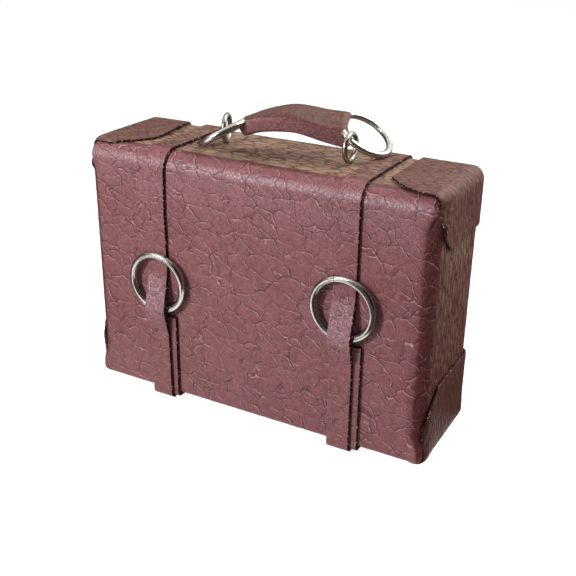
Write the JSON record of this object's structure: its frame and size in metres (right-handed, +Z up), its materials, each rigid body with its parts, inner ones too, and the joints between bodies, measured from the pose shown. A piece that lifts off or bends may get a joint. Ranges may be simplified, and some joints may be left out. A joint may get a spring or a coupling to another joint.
{
  "type": "miniature suitcase",
  "caption": "Upright doll's-house suitcase in pebbled leather, with corner caps, straps run through wire rings and a small arched grip slung between loose rings.",
  "frame": {"origin": "middle of the bounding box, at the surface the case stands on", "axes": "+X to the case's right seen from its front, +Y from the front to the back, +Z up"},
  "size_m": [0.0508, 0.0176, 0.0419],
  "materials": {
    "oxblood_leather": "pebble-grained, dull sheen, dark cut edges",
    "leather_filling": "rough split, out of sight",
    "wood_core": "plain sawn, out of sight",
    "bright_wire": "bright drawn wire with fine drawing lines"
  },
  "bodies": {
    "case": {"core_block": "wood_core", "leather_cover": "oxblood_leather", "back_panel": "oxblood_leather", "top_left_corner": "oxblood_leather", "top_right_corner": "oxblood_leather", "bottom_left_corner": "oxblood_leather", "bottom_right_corner": "oxblood_leather", "left_upper_strap": "oxblood_leather", "left_lower_strap": "oxblood_leather", "right_upper_strap": "oxblood_leather", "right_lower_strap": "oxblood_leather", "left_screw_eye": "bright_wire", "right_screw_eye": "bright_wire"},
    "left_strap_ring": {"left_strap_ring": "bright_wire"},
    "right_strap_ring": {"right_strap_ring": "bright_wire"},
    "handle": {"grip_cover": "oxblood_leather", "grip_core": "leather_filling"},
    "left_handle_ring": {"left_handle_ring": "bright_wire"},
    "right_handle_ring": {"right_handle_ring": "bright_wire"}
  },
  "joints": [
    {"name": "left_strap_ring_flip", "type": "hinge", "parent": "case", "child": "left_strap_ring", "pos_m": [-0.0136, -0.00778, 0.01389], "axis": [1, 0, 0], "range_deg": [0, 150]},
    {"name": "right_strap_ring_flip", "type": "hinge", "parent": "case", "child": "right_strap_ring", "pos_m": [0.014, -0.00778, 0.01649], "axis": [1, 0, 0], "range_deg": [0, 150]},
    {"name": "handle_rock", "type": "hinge", "parent": "case", "child": "handle", "pos_m": [0.001, 0.00123, 0.0392], "axis": [-1, 0, 0], "range_deg": [0, 12]},
    {"name": "left_handle_ring_tilt", "type": "hinge", "parent": "handle", "child": "left_handle_ring", "pos_m": [-0.00399, -0.0005, 0.03951], "axis": [-0.3374, 0.9271, -0.1631], "range_deg": [0, 6]},
    {"name": "right_handle_ring_tilt", "type": "hinge", "parent": "handle", "child": "right_handle_ring", "pos_m": [0.00786, 0.00352, 0.03994], "axis": [-0.3267, 0.8977, 0.2956], "range_deg": [-8.4, 0]}
  ],
  "couplings": [
    {"joint": "left_handle_ring_tilt", "follows": "handle_rock", "ratio": 0.5},
    {"joint": "right_handle_ring_tilt", "follows": "handle_rock", "ratio": -0.7}
  ]
}
